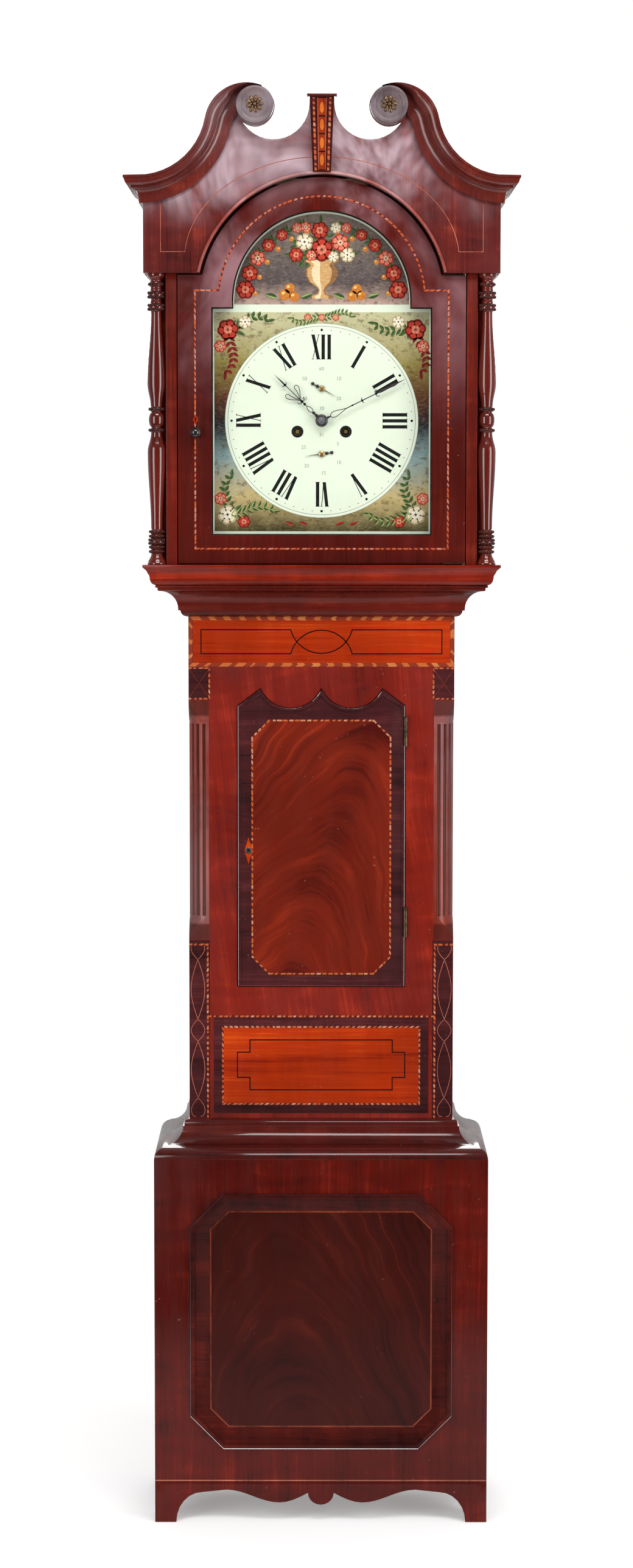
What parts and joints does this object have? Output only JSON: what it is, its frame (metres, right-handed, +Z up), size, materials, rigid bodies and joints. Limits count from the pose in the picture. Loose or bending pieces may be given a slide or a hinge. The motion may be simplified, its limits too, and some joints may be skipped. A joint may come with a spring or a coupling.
{
  "type": "longcase clock",
  "caption": "Tall weight-driven pendulum clock with a swan-neck hood, turned columns, arched painted dial, inlaid trunk door and octagonal base panel, with its striking movement inside.",
  "frame": {"origin": "on the floor, under the middle of the clock's bounding box", "axes": "+Z up, front faces -Y, +X to the viewer's right; the back stands against a wall at +Y"},
  "size_m": [0.613, 0.2964, 2.2748],
  "materials": {
    "mahogany": "French polished straight-grained mahogany",
    "dark_mahogany": "dark polished mahogany",
    "flame_mahogany": "polished flame-figured mahogany veneer with stringing",
    "satinwood": "polished inlaid veneer",
    "pine": "bare softwood",
    "ebony": "ebonised",
    "brass": "lacquered",
    "steel": "polished",
    "blued_steel": "blued",
    "iron": "black painted casting",
    "gut": "twisted gut",
    "dial_paint": "painted and gilded iron",
    "glass": "clear"
  },
  "bodies": {
    "case": {"backboard": "pine", "base_sides": "mahogany", "base_front": "flame_mahogany", "base_panel": "dark_mahogany", "bracket_feet": "mahogany", "base_moulding": "dark_mahogany", "trunk_sides": "mahogany", "trunk_front": "flame_mahogany", "quarter_columns": "dark_mahogany", "throat_moulding": "dark_mahogany", "seatboard": "pine", "trunk_hinge_leaves": "brass", "movement_frame": "brass", "back_cock": "brass", "bell": "brass", "dial_plate": "dial_paint", "going_line": "gut", "strike_line": "gut"},
    "hood": {"hood_base": "dark_mahogany", "hood_sides": "mahogany", "hood_fascia": "mahogany", "hood_roof": "pine", "swan_necks": "dark_mahogany", "scroll_rosettes": "dark_mahogany", "pediment_block": "satinwood", "hood_columns": "dark_mahogany", "dial_mask": "dark_mahogany"},
    "hood_door": {"hood_door_frame": "mahogany", "hood_door_glass": "glass", "hood_door_knob": "ebony", "hood_door_pivots": "brass"},
    "trunk_door": {"trunk_door_panel": "flame_mahogany", "trunk_door_lock": "brass", "trunk_door_hinges": "brass"},
    "lock_bolt": {"lock_bolt": "steel"},
    "pendulum": {"pendulum_rod": "steel", "pendulum_bob": "brass"},
    "anchor": {"anchor": "steel"},
    "centre_wheel": {"centre_wheel": "brass", "minute_hand": "blued_steel"},
    "hour_wheel": {"hour_wheel": "brass", "hour_hand": "blued_steel"},
    "minute_wheel": {"minute_wheel": "brass"},
    "date_hand": {"date_hand": "blued_steel"},
    "third_wheel": {"third_wheel": "brass"},
    "escape_wheel": {"escape_wheel": "brass", "seconds_hand": "blued_steel"},
    "going_great_wheel": {"going_great_wheel": "brass"},
    "going_barrel": {"going_barrel": "brass"},
    "going_weight": {"going_weight": "iron"},
    "going_pulley": {"going_pulley": "brass"},
    "strike_great_wheel": {"strike_great_wheel": "brass"},
    "strike_barrel": {"strike_barrel": "brass"},
    "strike_weight": {"strike_weight": "iron"},
    "strike_pulley": {"strike_pulley": "brass"},
    "pin_wheel": {"pin_wheel": "brass"},
    "gathering_wheel": {"gathering_wheel": "brass"},
    "warning_wheel": {"warning_wheel": "brass"},
    "fly": {"fly": "brass"},
    "hammer": {"hammer": "steel"}
  },
  "joints": [
    {"name": "hood_slide", "type": "slide", "parent": "case", "child": "hood", "axis": [0, -1, 0], "range_m": [0, 0.3]},
    {"name": "hood_door_hinge", "type": "hinge", "parent": "hood", "child": "hood_door", "pos_m": [0.222, -0.10025, 1.76], "axis": [0, 0, 1], "range_deg": [0, 100]},
    {"name": "trunk_door_hinge", "type": "hinge", "parent": "case", "child": "trunk_door", "pos_m": [0.134, -0.05075, 1.1], "axis": [0, 0, 1], "range_deg": [0, 100]},
    {"name": "lock_bolt_throw", "type": "slide", "parent": "trunk_door", "child": "lock_bolt", "axis": [-1, 0, 0], "range_m": [0, 0.006]},
    {"name": "pendulum_swing", "type": "hinge", "parent": "case", "child": "pendulum", "pos_m": [0, 0.06625, 1.83828], "axis": [0, -1, 0], "range_deg": [-2.5, 2.5]},
    {"name": "anchor_rock", "type": "hinge", "parent": "case", "child": "anchor", "pos_m": [0, 0.03925, 1.83828], "axis": [0, -1, 0], "range_deg": [-2.6, 2.6]},
    {"name": "minute_turn", "type": "hinge", "parent": "case", "child": "centre_wheel", "pos_m": [0, 0.00925, 1.76], "axis": [0, 1, 0], "continuous": true},
    {"name": "hour_turn", "type": "hinge", "parent": "case", "child": "hour_wheel", "pos_m": [0, 0.00925, 1.76], "axis": [0, 1, 0], "continuous": true},
    {"name": "minute_wheel_turn", "type": "hinge", "parent": "case", "child": "minute_wheel", "pos_m": [-0.01986, 0.00925, 1.77986], "axis": [0, 1, 0], "continuous": true},
    {"name": "date_turn", "type": "hinge", "parent": "case", "child": "date_hand", "pos_m": [0, 0.00925, 1.708], "axis": [0, 1, 0], "continuous": true},
    {"name": "third_turn", "type": "hinge", "parent": "case", "child": "third_wheel", "pos_m": [0.0103, 0.00925, 1.787], "axis": [0, 1, 0], "continuous": true},
    {"name": "escape_turn", "type": "hinge", "parent": "case", "child": "escape_wheel", "pos_m": [0, 0.00925, 1.81], "axis": [0, 1, 0], "continuous": true},
    {"name": "going_great_turn", "type": "hinge", "parent": "case", "child": "going_great_wheel", "pos_m": [0.038, 0.00925, 1.74307], "axis": [0, 1, 0], "continuous": true},
    {"name": "going_weight_lift", "type": "slide", "parent": "case", "child": "going_weight", "axis": [0, 0, 1], "range_m": [0, 1.2], "deforming": ["going_line"]},
    {"name": "going_barrel_wind", "type": "hinge", "parent": "case", "child": "going_barrel", "pos_m": [0.038, 0.00925, 1.74307], "axis": [0, 1, 0], "range_deg": [0, 5400]},
    {"name": "going_pulley_turn", "type": "hinge", "parent": "going_weight", "child": "going_pulley", "pos_m": [0.0336, 0.005, 0.4], "axis": [0, 1, 0], "range_deg": [0, 3300]},
    {"name": "strike_weight_lift", "type": "slide", "parent": "case", "child": "strike_weight", "axis": [0, 0, 1], "range_m": [0, 1.2], "deforming": ["strike_line"]},
    {"name": "strike_barrel_wind", "type": "hinge", "parent": "case", "child": "strike_barrel", "pos_m": [-0.038, 0.00925, 1.74307], "axis": [0, 1, 0], "range_deg": [0, 5400]},
    {"name": "strike_pulley_turn", "type": "hinge", "parent": "strike_weight", "child": "strike_pulley", "pos_m": [-0.0424, 0.005, 0.4], "axis": [0, 1, 0], "range_deg": [0, 3300]},
    {"name": "gathering_turn", "type": "hinge", "parent": "case", "child": "gathering_wheel", "pos_m": [-0.03089, 0.00925, 1.8027], "axis": [0, 1, 0], "continuous": true},
    {"name": "strike_great_turn", "type": "hinge", "parent": "case", "child": "strike_great_wheel", "pos_m": [-0.038, 0.00925, 1.74307], "axis": [0, 1, 0], "continuous": true},
    {"name": "pin_turn", "type": "hinge", "parent": "case", "child": "pin_wheel", "pos_m": [-0.04439, 0.00925, 1.77931], "axis": [0, 1, 0], "continuous": true},
    {"name": "warning_turn", "type": "hinge", "parent": "case", "child": "warning_wheel", "pos_m": [-0.03735, 0.00925, 1.82046], "axis": [0, 1, 0], "continuous": true},
    {"name": "fly_turn", "type": "hinge", "parent": "case", "child": "fly", "pos_m": [-0.05157, 0.00925, 1.81528], "axis": [0, 1, 0], "continuous": true},
    {"name": "hammer_lift", "type": "hinge", "parent": "case", "child": "hammer", "pos_m": [-0.064, 0.00925, 1.80031], "axis": [0, -1, 0], "range_deg": [0, 12], "stiffness_Nm_per_rad": 0.05, "springref_deg": -14.32}
  ],
  "couplings": [
    {"joint": "anchor_rock", "follows": "pendulum_swing", "ratio": 1},
    {"joint": "hour_turn", "follows": "minute_turn", "ratio": 0.083333},
    {"joint": "minute_wheel_turn", "follows": "minute_turn", "ratio": -1},
    {"joint": "date_turn", "follows": "minute_turn", "ratio": 0.0013441},
    {"joint": "third_turn", "follows": "minute_turn", "ratio": -7.5},
    {"joint": "escape_turn", "follows": "minute_turn", "ratio": 60},
    {"joint": "going_great_turn", "follows": "minute_turn", "ratio": -0.083333},
    {"joint": "going_barrel_wind", "follows": "going_weight_lift", "rad_per_m": 77.22},
    {"joint": "going_pulley_turn", "follows": "going_weight_lift", "rad_per_m": 46.512},
    {"joint": "strike_barrel_wind", "follows": "strike_weight_lift", "rad_per_m": 77.22},
    {"joint": "strike_pulley_turn", "follows": "strike_weight_lift", "rad_per_m": 46.512},
    {"joint": "strike_great_turn", "follows": "gathering_turn", "ratio": 0.011905},
    {"joint": "pin_turn", "follows": "gathering_turn", "ratio": -0.125},
    {"joint": "warning_turn", "follows": "gathering_turn", "ratio": -8},
    {"joint": "fly_turn", "follows": "gathering_turn", "ratio": 54.857}
  ]
}
